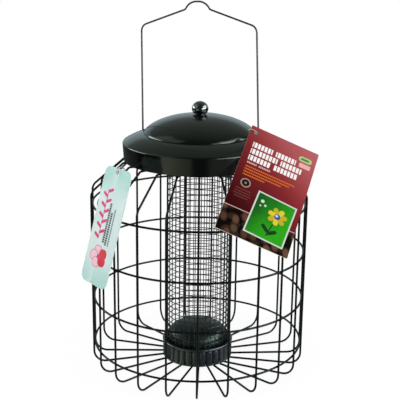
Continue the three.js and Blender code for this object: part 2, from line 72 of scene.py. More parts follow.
def put(tree, kind, sockets=None, **settings):
    """Shader node with its settings. A socket given as a value becomes a link."""
    node = tree.nodes.new("ShaderNode" + kind)
    for name, value in settings.items():
        setattr(node, name, value)
    for name, value in (sockets or {}).items():
        if isinstance(value, bpy.types.NodeSocket):
            tree.links.new(value, node.inputs[name])
        else:
            node.inputs[name].default_value = value
    return node


def empty_material(name):
    """Material whose node tree is empty."""
    material = bpy.data.materials.new(name)
    material.use_nodes = True
    material.node_tree.nodes.clear()
    return material, material.node_tree


def calc(tree, operation, *values):
    return put(tree, "Math", dict(enumerate(values)), operation=operation).outputs[0]


def ramp(tree, value, low, high, at_low=0.0, at_high=1.0):
    """Smooth change from at_low to at_high while the value goes from low to high."""
    sockets = {"Value": value, "From Min": low, "From Max": high, "To Min": at_low, "To Max": at_high}
    return put(tree, "MapRange", sockets, interpolation_type="SMOOTHSTEP").outputs[0]


def mixed(tree, share, first, second):
    return put(tree, "Mix", {0: share, 6: first, 7: second}, data_type="RGBA").outputs[2]


def between(tree, value, low, high, soft):
    """Share: 1 from low to high and 0 outside, with soft ends."""
    inside = ramp(tree, value, low - soft, low + soft)
    return calc(tree, "MULTIPLY", inside, ramp(tree, value, high - soft, high + soft, 1.0, 0.0))


def bearing(tree, vector):
    """Degrees round the feeder from the front, to the right."""
    axes = put(tree, "SeparateXYZ", {0: vector})
    front = calc(tree, "MULTIPLY", axes.outputs["Y"], -1.0)
    return calc(tree, "DEGREES", calc(tree, "ARCTAN2", axes.outputs["X"], front))


def rising(tree, level, share, light):
    """The level, raised by the light where the share is 1."""
    return calc(tree, "MULTIPLY_ADD", share, light, level)


def seen(tree, camera_look, gloss_look, other_look):
    """One look for the camera, one for reflections and one for the light that falls on things."""
    ray = put(tree, "LightPath")
    direct = calc(tree, "MAXIMUM", ray.outputs["Is Camera Ray"], ray.outputs["Is Transmission Ray"])
    mirrored = put(tree, "MixShader", {0: ray.outputs["Is Glossy Ray"], 1: other_look, 2: gloss_look})
    return put(tree, "MixShader", {0: direct, 1: mirrored.outputs[0], 2: camera_look}).outputs[0]


room_light = 0.74
ceiling_span, ceiling_front, ceiling_back = (-0.7, 0.5), 0.1, 0.34
sweep_turn, sweep_rise, sweep_soft, sweep_light = (96.0, 118.0), 21.5, 1.5, 0.72
room_tint, sweep_tint = (0.86, 1.0, 0.90, 1), (0.74, 0.95, 1.0, 1)
panel_soft = 4.0
soft_panels = [
    {"turn": (46, 108), "rise": (14, 42), "light": 6.5},
    {"turn": (26, 86), "rise": (1, 12), "light": 15.0},
    {"turn": (-126, -86), "rise": (2, 18), "light": 8.0},
    {"turn": (-116, -42), "rise": (6, 58), "light": 0.7},
]
world = bpy.data.worlds.new("studio")
scene.world = world
world.use_nodes = True
sky = world.node_tree
sky.nodes.clear()
direction = put(sky, "TexCoord").outputs["Generated"]
axes = put(sky, "SeparateXYZ", {0: direction})
turn = bearing(sky, direction)
rise = calc(sky, "DEGREES", calc(sky, "ARCSINE", axes.outputs["Z"]))
room = ramp(sky, axes.outputs["Y"], *ceiling_span, ceiling_front, ceiling_back)
behind = ramp(sky, calc(sky, "ABSOLUTE", turn), *sweep_turn)
below_top = ramp(sky, rise, sweep_rise - sweep_soft, sweep_rise + sweep_soft, 1.0, 0.0)
sweep = calc(sky, "MULTIPLY", behind, below_top)
room = rising(sky, room, sweep, sweep_light - ceiling_back)
for panel in soft_panels:
    across = between(sky, turn, *panel["turn"], panel_soft)
    share = calc(sky, "MULTIPLY", across, between(sky, rise, *panel["rise"], panel_soft))
    room = rising(sky, room, share, panel["light"])
daylight = mixed(sky, sweep, room_tint, sweep_tint)
lighting = put(sky, "Background", {"Color": (1, 1, 1, 1), "Strength": room_light})
mirror = put(sky, "Background", {"Color": daylight, "Strength": room})
white = put(sky, "Background", {"Color": (1, 1, 1, 1), "Strength": 1.0})
put(sky, "OutputWorld", {"Surface": seen(sky, white.outputs[0], mirror.outputs[0], lighting.outputs[0])})

floor_reach = 12
shadow_near, shadow_far = 0.16, 0.42
glow_near, glow_far = 0.9, 1.0
warm_strip, warm_soft, warm_left, warm_right = (-56.0, -11.0), 2.0, 1.3, 0.5
right_strips = [
    {"turn": (13.0, 75.0), "soft": 4.0, "light": 0.3},
    {"turn": (45.0, 75.0), "soft": 5.0, "light": 0.4},
]
far_left, far_left_light = (-110.0, -95.0), 0.08
table_light, table_near, table_far, near_light = 0.02, 0.2, 0.4, 0.3
cool_table, warm_table = (0.88, 1.0, 0.9, 1), (0.90, 0.97, 0.70, 1)
floor_paint, tree = empty_material("floor_paint")
place = put(tree, "NewGeometry").outputs["Position"]
reach = put(tree, "VectorMath", {0: place}, operation="LENGTH").outputs["Value"]
glow_light = ramp(tree, reach, shadow_near, shadow_far, glow_near, glow_far)
glow = put(tree, "Emission", {"Color": (1, 1, 1, 1), "Strength": glow_light})
catch = mixed(tree, ramp(tree, reach, shadow_near, shadow_far), (0.12, 0.12, 0.12, 1), (0, 0, 0, 1))
shadow = put(tree, "BsdfDiffuse", {"Color": catch})
white = put(tree, "AddShader", {0: glow.outputs[0], 1: shadow.outputs[0]})
turn = bearing(tree, place)
warm = between(tree, turn, *warm_strip, warm_soft)
lit = calc(tree, "MULTIPLY", warm, ramp(tree, turn, *warm_strip, warm_left, warm_right))
for strip in right_strips:
    lit = rising(tree, lit, between(tree, turn, *strip["turn"], strip["soft"]), strip["light"])
lit = rising(tree, lit, ramp(tree, turn, *far_left, 1.0, 0.0), far_left_light)
near = ramp(tree, reach, table_near, table_far, near_light, 0.0)
table = calc(tree, "MAXIMUM", calc(tree, "ADD", lit, table_light), near)
tint = mixed(tree, warm, cool_table, warm_table)
mirror = put(tree, "Emission", {"Color": tint, "Strength": table})
bounce = put(tree, "BsdfDiffuse", {"Color": (0.8, 0.8, 0.8, 1)})
put(tree, "OutputMaterial", {"Surface": seen(tree, white.outputs[0], mirror.outputs[0], bounce.outputs[0])})
sheet = bpy.data.meshes.new("floor")
corners = [(x * floor_reach, y * floor_reach, 0) for x, y in [(-1, -1), (1, -1), (1, 1), (-1, 1)]]
sheet.from_pydata(corners, [], [(0, 1, 2, 3)])
sheet.materials.append(floor_paint)
floor = bpy.data.objects.new("floor", sheet)
scene.collection.objects.link(floor)


def softbox(name, place, aim, width, tall, power):
    """Rectangular lamp that faces its aim and stays out of reflections."""
    light = bpy.data.lights.new(name, "AREA")
    light.shape = "RECTANGLE"
    light.size, light.size_y, light.energy = width, tall, power
    lamp = bpy.data.objects.new(name, light)
    lamp.location = place
    lamp.rotation_mode = "QUATERNION"
    lamp.rotation_quaternion = (Vector(aim) - Vector(place)).to_track_quat("-Z", "Y")
    lamp.visible_glossy = False
    scene.collection.objects.link(lamp)


feeder_middle = (0, 0, 0.22)
softbox("left_lamp", (-1.25, -1.35, 1.15), feeder_middle, width=0.6, tall=0.8, power=11)
softbox("right_lamp", (1.5, -0.9, 1.0), feeder_middle, width=0.6, tall=0.8, power=9)

# Loops
# Fine nylon cord, knotted into a ring: one ties the card to the right leg of the handle, one ties
# the tag to a sloping wire of the cage. Each runs through its hole and over the near edge.
cord_thick = 1.0
card_wide, card_tall, card_thick = 79.4, 138.6, 0.8
card_hole = Vector((-32.7, 0, 61.3))
card_hole_radius = 2.4
tag_wide, tag_tall, tag_thick = 50, 127, 1.0
tag_hole = Vector((0, 0, 58.9))
tag_hole_radius = 2.6
loop_reach, loop_side, loop_off = 2.8, 3.2, 2.4
leg_draw_in = 1.88


def hung(middle, yaw, lean, turn):
    """Where a flat sheet hangs: its middle, then its yaw, lean and turn in degrees."""
    turns = Matrix.Rotation(radians(yaw), 4, "Z") @ Matrix.Rotation(radians(-lean), 4, "X")
    return Matrix.Translation(middle) @ turns @ Matrix.Rotation(radians(turn), 4, "Y")


def beside(spot, heading, hole):
    """Finds places round a wire: out from it towards the hole, and over to its side."""
    towards = hole - spot
    towards = (towards - heading * towards.dot(heading)).normalized()
    across = towards.cross(heading).normalized()
    return lambda out, over: spot + towards * out + across * over


def rounded_route(points, steps):
    """Smooth line through given points."""
    ends = [2 * points[0] - points[1], *points, 2 * points[-1] - points[-2]]
    route = []
    for before, here, there, after in zip(ends, ends[1:], ends[2:], ends[3:]):
        for step in range(steps):
            t = step / steps
            bend = (2 * before - 5 * here + 4 * there - after) * t * t
            twist = (3 * here - before - 3 * there + after) * t * t * t
            route.append((2 * here + (there - before) * t + bend + twist) / 2)
    return [*route, points[-1]]


handle_yaw = radians(-22)
handle_lean = 0.0264
handle_foot, handle_corner = 71, 68.2
plate_level, corner_level = 241.95, 390.6


def on_handle(along, level):
    """Place in the handle's plane, which is turned and leans a little to one side."""
    climb = (level - plate_level) / (corner_level - plate_level)
    leaning = along - handle_lean * (level - plate_level)
    rise = level + handle_lean * along * climb
    return Vector((leaning * cos(handle_yaw), leaning * sin(handle_yaw), rise))


def leg_half(level):
    """Half the distance between the handle's legs at a level."""
    climb = (level - plate_level) / (corner_level - plate_level)
    return handle_foot + (handle_corner - handle_foot) * climb


card_loop_level = 276.1
leg_spot = on_handle(leg_half(card_loop_level), card_loop_level)
leg_spot.z = card_loop_level
card_hang = Vector((8.15, -68.35, -44.75))
card_yaw, card_lean, card_turn = 21.7, 43.6, 33.1
card_place = hung(leg_spot + card_hang, card_yaw, card_lean, card_turn)

upright_count = 23
cage_radius, shoulder_level, shoulder_slope = 123.85, 207.6, radians(41.6)
tag_upright, tag_inset = -4, 33.35
tag_hang = Vector((-17.6, -45.05, -50.8))
tag_yaw, tag_lean = -52.6, 16.3
tag_angle = tag_upright * 2 * pi / upright_count
outward = Vector((sin(tag_angle), -cos(tag_angle), 0))
slope_spot = outward * (cage_radius - tag_inset)
slope_spot.z = shoulder_level + tag_inset * tan(shoulder_slope)
slope_heading = outward * -cos(shoulder_slope) + Vector((0, 0, sin(shoulder_slope)))
tag_place = hung(slope_spot + tag_hang, tag_yaw, tag_lean, 0)

nylon, tree = empty_material("nylon_cord")
fibre = put(tree, "TexNoise", {"Scale": 2400.0, "Detail": 3.0}).outputs["Fac"]
strand = mixed(tree, fibre, (0.36, 0.36, 0.30, 1), (0.58, 0.58, 0.50, 1))
relief = put(tree, "Bump", {"Strength": 0.3, "Distance": 0.00008, "Height": fibre})
coat = {"Base Color": strand, "Roughness": 0.42, "Transmission Weight": 0.25, "Normal": relief.outputs[0]}
put(tree, "OutputMaterial", {"Surface": put(tree, "BsdfPrincipled", coat).outputs[0]})


def cord_line(name, path, thick, roundness):
    """Round nylon cord along a path in millimetres."""
    line = bpy.data.curves.new(name, "CURVE")
    line.dimensions = "3D"
    line.bevel_depth = thick / 2 * mm
    line.bevel_resolution = roundness
    line.use_fill_caps = True
    spline = line.splines.new("POLY")
    spline.points.add(len(path) - 1)
    for point, at in zip(spline.points, path):
        point.co = (*(at * mm), 1)
    line.materials.append(nylon)
    obj = bpy.data.objects.new(name, line)
    scene.collection.objects.link(obj)
    return obj


loops = []
near_leg = beside(leg_spot, Vector((0, 0, 1)), card_place @ card_hole)
hole_rest = card_hole.x - card_hole_radius + cord_thick
card_edge = -card_wide / 2
loops.append(("card_loop_cord", "card", "card_loop", [
    near_leg(0, loop_side + leg_draw_in),
    near_leg(-loop_reach - leg_draw_in, 0),
    near_leg(0, -loop_side),
    card_place @ Vector((hole_rest, loop_off, card_hole.z)),
    card_place @ Vector((hole_rest, -card_thick - loop_off, card_hole.z)),
    card_place @ Vector((card_edge, -card_thick - loop_off, card_hole.z)),
    card_place @ Vector((card_edge - loop_off, 0, card_hole.z)),
]))
near_slope = beside(slope_spot, slope_heading, tag_place @ tag_hole)
tag_edge = tag_tall / 2
loops.append(("tag_loop_cord", "tag", "tag_loop", [
    near_slope(0, loop_side),
    near_slope(-loop_reach, 0),
    near_slope(0, -loop_side),
    tag_place @ Vector((0, loop_off, tag_hole.z)),
    tag_place @ Vector((0, -tag_thick - loop_off, tag_hole.z)),
    tag_place @ Vector((0, -tag_thick - loop_off, tag_edge)),
    tag_place @ Vector((0, loop_off / 2, tag_edge + loop_off)),
]))
route_steps = 8
knot_radius, knot_wraps, wrap_steps, wrap_pitch = 0.85, 3, 12, 0.85
knot_gap, knot_thick = 0.8, 0.96
for name, body, node, route in loops:
    knot_at = (route[0] + route[-1]) / 2
    knot_way = (route[0] - route[-1]).normalized()
    ends = knot_way * cord_thick * knot_gap
    path = rounded_route([knot_at + ends, *route, knot_at - ends], route_steps)
    loop = cord_line(name, path, cord_thick, roundness=4)
    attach(loop, body)
    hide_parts(node)
    side = knot_way.orthogonal().normalized()
    other = knot_way.cross(side)
    turns = knot_wraps * wrap_steps
    winding = []
    for number in range(turns + 1):
        angle = 2 * pi * number / wrap_steps
        along = knot_way * (number / turns - 0.5) * knot_wraps * cord_thick * wrap_pitch
        around = (side * cos(angle) + other * sin(angle)) * knot_radius
        winding.append(knot_at + along + around)
    knot = cord_line(name + "_knot", winding, cord_thick * knot_thick, roundness=3)
    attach(knot, body)

# Cage uprights
# Each is one bent steel wire: a leg under the cup, a foot bend, a post, a shoulder and a slope to
# the lid. They are welded to the hub plate and powder coated black with the whole cage.
wire_thick, coat_thick = 2.3, 0.05
coated_thick = wire_thick + 2 * coat_thick
foot_bend, shoulder_bend, neck_bend = 14, 12, 4
neck_level, neck_inner = 240.5, 76
hub_radius = 30
leg_drifts = [
    0.06, 0.08, 0, -0.06, -0.17, -0.04, 0.01, 0.15, 0.16, 0.1, 0.04, 0,
    -0.04, -0.08, -0.1, -0.13, -0.18, -0.22, -0.25, -0.19, -0.06, 0.03, 0.15,
]


def bent(corners, bends, steps=10):
    """Line through corners in one plane, with each inner corner rounded to its bend radius."""
    path = [Vector(corners[0])]
    for before, here, after, bend in zip(corners, corners[1:], corners[2:], bends):
        at = Vector(here)
        back, on = (Vector(before) - at).normalized(), (Vector(after) - at).normalized()
        half = back.angle(on) / 2
        centre = at + (back + on).normalized() * (bend / sin(half))
        start = at + back * (bend / tan(half)) - centre
        end = at + on * (bend / tan(half)) - centre
        turn = atan2(start.x * end.y - start.y * end.x, start.dot(end))
        path += [centre + Matrix.Rotation(turn * step / steps, 2) @ start for step in range(steps + 1)]
    return [*path, Vector(corners[-1])]


def swept(mesh, path, thick, sides=12, closed=False):
    """Round wire along a path, added to a mesh."""
    rings, side = [], None
    for number, at in enumerate(path):
        before = path[number - 1] if number or closed else at
        after = path[(number + 1) % len(path)] if number < len(path) - 1 or closed else at
        heading = (after - before).normalized()
        side = side or heading.orthogonal()
        side = (side - heading * side.dot(heading)).normalized()
        up = heading.cross(side)
        spokes = [2 * pi * k / sides for k in range(sides)]
        rings.append([mesh.verts.new((at + (side * cos(a) + up * sin(a)) * thick / 2) * mm) for a in spokes])
    for first, second in zip(rings, rings[1:] + rings[:1] if closed else rings[1:]):
        for k in range(sides):
            mesh.faces.new((first[k], first[k - 1], second[k - 1], second[k]))
    if not closed:
        mesh.faces.new(rings[0])
        mesh.faces.new(reversed(rings[-1]))
    return mesh


def piece(name, mesh, material, body, slot, *nodes, crease=35):
    """Visible piece made of a mesh, which rides on a body and stands for the CAD nodes given."""
    bmesh.ops.recalc_face_normals(mesh, faces=mesh.faces)
    data = bpy.data.meshes.new(name)
    mesh.to_mesh(data)
    mesh.free()
    data.materials.append(material)
    data.shade_smooth()
    data.set_sharp_from_angle(angle=radians(crease))
    obj = bpy.data.objects.new(name, data)
    scene.collection.objects.link(obj)
    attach(obj, body)
    if nodes:
        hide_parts(*nodes)
    return obj


def vector_calc(tree, operation, *vectors):
    return put(tree, "VectorMath", dict(enumerate(vectors)), operation=operation).outputs[0]


def noise(tree, at, scale, detail):
    return put(tree, "TexNoise", {"Vector": at, "Scale": scale, "Detail": detail}).outputs["Fac"]


def finish(name, colours, patch, rough, grain, grain_deep, sockets=None, stretch=(1, 1, 1)):
    """Procedural finish: two colours in soft patches, a rough range and a fine raised grain."""
    material, tree = empty_material(name)
    scaled = vector_calc(tree, "MULTIPLY", put(tree, "TexCoord").outputs["Object"], stretch)
    patches = noise(tree, scaled, scale=patch, detail=4.0)
    fine = noise(tree, scaled, scale=grain, detail=2.0)
    share = ramp(tree, patches, 0.35, 0.65)
    relief = put(tree, "Bump", {"Strength": 0.5, "Distance": grain_deep * mm, "Height": fine})
    shader = {
        "Base Color": mixed(tree, share, (*colours[0], 1), (*colours[1], 1)),
        "Roughness": ramp(tree, patches, 0.3, 0.7, *rough),
        "Normal": relief.outputs[0],
        **(sockets or {}),
    }
    put(tree, "OutputMaterial", {"Surface": put(tree, "BsdfPrincipled", shader).outputs[0]})
    return material


powder_coat = finish(
    "powder_coat", [(0.0015, 0.002, 0.0022), (0.0035, 0.0044, 0.0048)], patch=60.0, rough=(0.24, 0.34),
    grain=2600.0, grain_deep=0.012,
    sockets={"Specular IOR Level": 0.16, "Specular Tint": (0.86, 1.0, 1.0, 1)},
)
slope_run = (neck_level - shoulder_level) / tan(shoulder_slope)
upright_shape = bent(
    [
        (hub_radius, wire_thick / 2),
        (cage_radius, wire_thick / 2),
        (cage_radius, shoulder_level),
        (cage_radius - slope_run, neck_level),
        (neck_inner, neck_level),
    ],
    [foot_bend, shoulder_bend, neck_bend],
)
for number in range(upright_count):
    turn = Matrix.Rotation(number * 2 * pi / upright_count, 3, "Z")
    path = [turn @ Vector((0, -at.x, at.y)) for at in upright_shape]
    path[0] = turn @ Vector((leg_drifts[number] * hub_radius, -hub_radius, wire_thick / 2))
    upright = swept(bmesh.new(), path, coated_thick)
    node = f"cage_upright_{number + 1:02d}"
    piece(f"upright_{number + 1:02d}", upright, powder_coat, "cage", "black_wire", node)

# Hoops
# Four rings of the same wire, pressed into the inner side of the posts and spot welded at every
# crossing, where the two wires sink a little into each other and leave a small bead.
hoop_count, lowest_hoop, top_hoop_drop = 4, 24.9, 14.9
weld_sink, bead_out, bead_size = 0.35, 0.1, (1.5, 1.0, 1.3)
hoop_radius = cage_radius - wire_thick + weld_sink
bead_radius = cage_radius - wire_thick / 2 + bead_out
hoop_steps = 8 * upright_count


def ring_path(radius, level, steps, start=0):
    spread = [start + 2 * pi * k / steps for k in range(steps)]
    return [Vector((radius * sin(a), -radius * cos(a), level)) for a in spread]


for number in range(hoop_count):
    level = lowest_hoop + (shoulder_level - top_hoop_drop - lowest_hoop) * number / (hoop_count - 1)
    hoop = swept(bmesh.new(), ring_path(hoop_radius, level, hoop_steps), coated_thick, closed=True)
    piece(f"hoop_{number + 1}", hoop, powder_coat, "cage", "black_wire", f"cage_hoop_{number + 1}")
    beads = bmesh.new()
    for post in range(upright_count):
        angle = post * 2 * pi / upright_count
        at = Vector((bead_radius * sin(angle), -bead_radius * cos(angle), level))
        stance = Matrix.Translation(at * mm) @ Matrix.Rotation(angle, 4, "Z")
        flattened = stance @ Matrix.Diagonal((*bead_size, 1)).to_4x4()
        bmesh.ops.create_icosphere(beads, subdivisions=2, radius=mm, matrix=flattened)
    piece(f"hoop_{number + 1}_welds", beads, powder_coat, "cage", "black_wire")

# Hub plate and top plate
# Two steel discs that hold the cage together, one under the cup and one, with holes for the
# handle's feet, under the lid. They are coated with the cage.
for node in ("hub_plate", "top_plate"):
    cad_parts[node].data.materials.clear()
    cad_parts[node].data.materials.append(powder_coat)

# Base cup
# One moulding in blue-black plastic, with reeded sides, a rounded lip and a ledge inside it where
# the mesh tube stands. A screw through its floor holds it to the nut of the hub plate.
cup_foot, cup_height, lip_high = 2.6, 21.6, 2.6
cup_top = cup_foot + cup_height
lip_level = cup_top - lip_high
cup_top_radius, cup_foot_radius, cup_foot_round = 41.7, 41.1, 0.7
lip_foot_round, lip_round, seat_round = 0.4, 1.3, 1.8
side_in, side_steps = 0.5, 10
groove_in, groove_foot, groove_top, lip_in = 1.1, 0.5, 0.1, 0.9
reeds, reed_deep, reed_turn = 30, 1.6, radians(3.2)
reed_sharp, reed_fade_top, reed_fade_foot, reed_steps = 1.7, 1.2, 1.5, 12
seat_radius, seat_slope, ledge_level = 37.75, 0.3, 14.2
reeded_from = seat_radius + 1
well_radius, well_edge, well_drop = 34.6, 0.3, 0.4
cup_floor_top, floor_round = 8.0, 0.8
nut_well, nut_top, screw_hole = 5.2, 5.8, 1.85


def turned(outline, segments, wave=None, closed=True):
    """Turned shape from (radius, level) points, closed on itself or ending on the axis."""
    mesh = bmesh.new()
    rings = []
    for radius, level in outline:
        if radius < 1e-6:
            rings.append([mesh.verts.new((0, 0, level * mm))] * segments)
            continue
        ring = []
        for k in range(segments):
            angle = 2 * pi * k / segments
            out = radius - (wave(angle, radius, level) if wave else 0)
            ring.append(mesh.verts.new((out * sin(angle) * mm, -out * cos(angle) * mm, level * mm)))
        rings.append(ring)
    for first, second in zip(rings, rings[1:] + rings[:1] if closed else rings[1:]):
        for k in range(segments):
            corners = list(dict.fromkeys((first[k], first[k - 1], second[k - 1], second[k])))
            if len(corners) > 2:
                mesh.faces.new(corners)
    return mesh


def reeding(angle, radius, level):
    """Depth of the reeds below the cup's side, with rounded ridges and narrow valleys."""
    if radius < reeded_from:
        return 0
    across = ((angle - reed_turn) * reeds / (2 * pi)) % 1 * 2 - 1
    valley = 0.5 - 0.5 * cos(pi * abs(across) ** reed_sharp)
    fade_top = min(1.0, max(0.0, (lip_level - level) / reed_fade_top))
    fade_foot = min(1.0, max(0.0, (level - cup_foot) / reed_fade_foot))
    return reed_deep * valley * fade_top * fade_foot


side_start = Vector((cup_foot_radius, cup_foot + cup_foot_round))
side_end = Vector((cup_top_radius - side_in, lip_level))
side = [tuple(side_start.lerp(side_end, k / side_steps)) for k in range(1, side_steps)]
cup_outline = [
    *bent([(nut_well, cup_foot), (cup_foot_radius, cup_foot), side[0]], [cup_foot_round], steps=8)[:-1],
    *side,
    (cup_top_radius - groove_in, lip_level - groove_foot),
    (cup_top_radius - groove_in, lip_level - groove_top),
    *bent(
        [
            (cup_top_radius - lip_in, lip_level),
            (cup_top_radius, lip_level),
            (cup_top_radius, cup_top),
            (seat_radius + seat_slope, cup_top),
            (seat_radius, ledge_level),
        ],
        [lip_foot_round, lip_round, seat_round],
        steps=6,
    ),
    (well_radius + well_edge, ledge_level),
    (well_radius, ledge_level - well_drop),
    (well_radius, cup_floor_top + floor_round),
    (well_radius - floor_round, cup_floor_top),
    (screw_hole, cup_floor_top),
    (screw_hole, nut_top),
    (nut_well, nut_top),
]
cup_plastic = finish(
    "cup_plastic", [(0.003, 0.0065, 0.0095), (0.0035, 0.0065, 0.0155)], patch=35.0, rough=(0.2, 0.28),
    grain=1800.0, grain_deep=0.01,
)
# Painted shade: the shine is cut down in the reeds' valleys and raised on the ridges, so the valleys read
# dark as if in shade.
valley_point, ridge_point, valley_painted_shade, ridge_shine = 0.44, 0.53, 0.05, 0.75
tree = cup_plastic.node_tree
ridges = put(tree, "NewGeometry").outputs["Pointiness"]
shine = tree.nodes["Principled BSDF"].inputs["Specular IOR Level"]
tree.links.new(ramp(tree, ridges, valley_point, ridge_point, valley_painted_shade, ridge_shine), shine)
cup = turned(cup_outline, reeds * reed_steps, reeding)
piece("reeded_cup", cup, cup_plastic, "cage", "cup_plastic", "base_cup", crease=50)

# Deflector dome
# A thin black plastic shell that stands on the cup's floor inside the tube, so that the last nuts
# roll out to the mesh. It has a short straight foot and a domed top.
dome_foot, dome_height, dome_shoulder = 8.3, 34.5, 19.7
dome_radius, dome_wall, dome_edge = 34.1, 1.4, 0.3
dome_fullness, dome_rings = 0.77, 24


def dome_skin(radius, wall):
    """Outline of one face of the dome, from its shoulder to its top."""
    start = dome_foot + dome_shoulder
    rise = dome_height - dome_shoulder - wall
    turns = [pi / 2 * k / dome_rings for k in range(dome_rings)]
    curve = [(radius * cos(a) ** dome_fullness, start + rise * sin(a) ** dome_fullness) for a in turns]
    return [*curve, (0, start + rise)]


deflector_outline = [
    *reversed(dome_skin(dome_radius - dome_wall, dome_wall)),
    (dome_radius - dome_wall, dome_foot + dome_edge),
    (dome_radius - dome_wall + dome_edge, dome_foot),
    (dome_radius - dome_edge, dome_foot),
    (dome_radius, dome_foot + dome_edge),
    *dome_skin(dome_radius, 0),
]
dark_plastic = finish(
    "dark_plastic", [(0.003, 0.0042, 0.0055), (0.006, 0.0085, 0.010)], patch=40.0, rough=(0.28, 0.42),
    grain=1500.0, grain_deep=0.012, sockets={"Specular Tint": (0.8, 1.0, 1.0, 1)},
)
deflector = turned(deflector_outline, segments=96, closed=False)
piece("deflector_shell", deflector, dark_plastic, "cage", "cup_plastic", "deflector_dome")

# Screws
# Two small zinc plated screws: one holds the cup to the hub plate, one holds the knob from inside
# the lid. Both keep their bright finish.
bright_zinc = finish(
    "bright_zinc", [(0.50, 0.50, 0.48), (0.62, 0.61, 0.57)], patch=400.0, rough=(0.25, 0.4),
    grain=3000.0, grain_deep=0.01, sockets={"Metallic": 1.0},
)
for node in ("base_screw", "knob_screw"):
    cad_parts[node].data.materials.clear()
    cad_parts[node].data.materials.append(bright_zinc)

# Mesh tube
# One sheet of quarter-inch welded mesh, rolled into a tube: upright wires outside, rings inside,
# each crossing welded. It stands on the cup's ledge and ends in the collar under the lid.
mesh_wire, mesh_uprights, mesh_rings = 1.0, 37, 35
mesh_turn = radians(4.25)
tube_outer, tube_foot, tube_head = 37.4, 14.5, 247.6
first_ring, ring_pitch = 15.1, 6.7
weld_overlap, wire_lengths = 0.45, 4
upright_circle = tube_outer - mesh_wire / 2
ring_circle = upright_circle - mesh_wire + weld_overlap
ring_steps = 3 * mesh_uprights
mesh_coat = finish(
    "mesh_coat", [(0.004, 0.005, 0.0055), (0.012, 0.0135, 0.014)], patch=90.0, rough=(0.16, 0.26),
    grain=2800.0, grain_deep=0.01, sockets={"Specular IOR Level": 0.42},
)
tube = bmesh.new()
for number in range(mesh_uprights):
    angle = mesh_turn + number * 2 * pi / mesh_uprights
    at = Vector((sin(angle), -cos(angle), 0)) * upright_circle
    levels = [tube_foot + (tube_head - tube_foot) * k / wire_lengths for k in range(wire_lengths + 1)]
    swept(tube, [at + Vector((0, 0, level)) for level in levels], mesh_wire, sides=8)
for number in range(mesh_rings):
    level = first_ring + number * ring_pitch
    path = ring_path(ring_circle, level, ring_steps, mesh_turn)
    swept(tube, path, mesh_wire, sides=8, closed=True)
staves = [f"mesh_tube_{number}" for number in range(1, 9)]
piece("welded_mesh", tube, mesh_coat, "cage", "black_wire", *staves)

# Collar
# A short flanged steel sleeve in the top plate that holds the head of the mesh tube in place.
# It is coated black and hidden by the lid's skirt.
collar_inner, collar_outer, flange_radius = 37.7, 38.5, 44.5
collar_foot, flange_foot, flange_top, collar_top = 232.95, 243.75, 244.55, 248.45
collar_outline = [
    (collar_inner, collar_foot),
    (collar_outer, collar_foot),
    (collar_outer, flange_foot),
    (flange_radius, flange_foot),
    (flange_radius, flange_top),
    (collar_outer, flange_top),
    (collar_outer, collar_top),
    (collar_inner, collar_top),
]
collar = turned(collar_outline, segments=96)
piece("flanged_collar", collar, powder_coat, "cage", "black_wire", "tube_collar")

# Lid
# Spun from one disc of steel: a straight skirt, a rolled edge, a shallow brim, a crease and a dome.
# It is enamelled dark green-black to a high gloss and slides up the two legs of the handle.
lid_seat, lid_wall = 241.95, 1.3
skirt_foot, lid_edge, skirt_height, edge_round = 86, 87.3, 20.2, 2.2
crease_radius, crease_height, brim_crown = 63.5, 30.2, 1.3
dome_rise, dome_power = 21.65, 0.65
brim_start, brim_rings, crown_rings = lid_edge - 2.6, 14, 60
skirt_edge, skirt_edge_high = 0.3, 0.2
inner_edge, inner_edge_top, inner_edge_foot = 0.4, 0.5, 1.4
lid_bore, lid_sharp = 1.8, 32


def lid_height(radius):
    """Height of the lid's outer face over its seat: brim outside the crease, dome inside it."""
    if radius >= crease_radius:
        along = (lid_edge - radius) / (lid_edge - crease_radius)
        return skirt_height + (crease_height - skirt_height) * along + 4 * brim_crown * along * (1 - along)
    reach = radius / crease_radius
    return crease_height + dome_rise * (1 - reach * reach) ** dome_power


brim_width = brim_start - crease_radius
brim_radii = [crease_radius + brim_width * k / brim_rings for k in range(brim_rings, -1, -1)]
crown_radii = [crease_radius * sin(pi / 2 * k / crown_rings) for k in range(crown_rings - 1, 1, -1)]
top_radii = [*brim_radii, *crown_radii, lid_bore]
skirt = [(skirt_foot, skirt_edge_high), (lid_edge, skirt_height), (brim_start, lid_height(brim_start))]
outer = [
    *bent(skirt, [edge_round], steps=8)[:-1],
    *[(radius, lid_height(radius)) for radius in top_radii],
]
inner = [
    *[(radius, lid_height(radius) - lid_wall) for radius in reversed(top_radii)],
    (lid_edge - lid_wall - inner_edge, skirt_height - lid_wall - inner_edge_top),
    (lid_edge - lid_wall, skirt_height - lid_wall - inner_edge_foot),
    (skirt_foot - lid_wall, skirt_edge_high),
    (skirt_foot - lid_wall + skirt_edge, 0),
    (skirt_foot - skirt_edge, 0),
]
lid_outline = [(at[0], at[1] + lid_seat) for at in [*outer, *inner]]
enamel = finish(
    "enamel", [(0.0014, 0.0024, 0.0018), (0.0022, 0.0034, 0.0026)], patch=18.0, rough=(0.13, 0.18),
    grain=900.0, grain_deep=0.01, sockets={"Specular IOR Level": 0.38},
)
spun = turned(lid_outline, segments=192)
lid = piece("spun_lid", spun, enamel, "lid", "lid_paint", "lid_shell", crease=lid_sharp)
hole_level = lid_seat + (skirt_height + crease_height) / 2
lid_travel = 100
leg_rest, leg_raised = leg_half(hole_level), leg_half(hole_level + lid_travel)
handle_thick, leg_play, drill_long = 2, 0.5, 16
leg_hole = ((handle_thick + leg_rest - leg_raised) / 2 + leg_play) * mm
drill = bmesh.new()
for side_sign in (-1, 1):
    spot = on_handle(side_sign * (leg_rest + leg_raised) / 2, hole_level)
    stance = Matrix.Translation(Vector((spot.x, spot.y, hole_level)) * mm)
    bmesh.ops.create_cone(
        drill, cap_ends=True, segments=32, radius1=leg_hole, radius2=leg_hole, depth=drill_long * mm,
        matrix=stance,
    )
drill_mesh = bpy.data.meshes.new("drill")
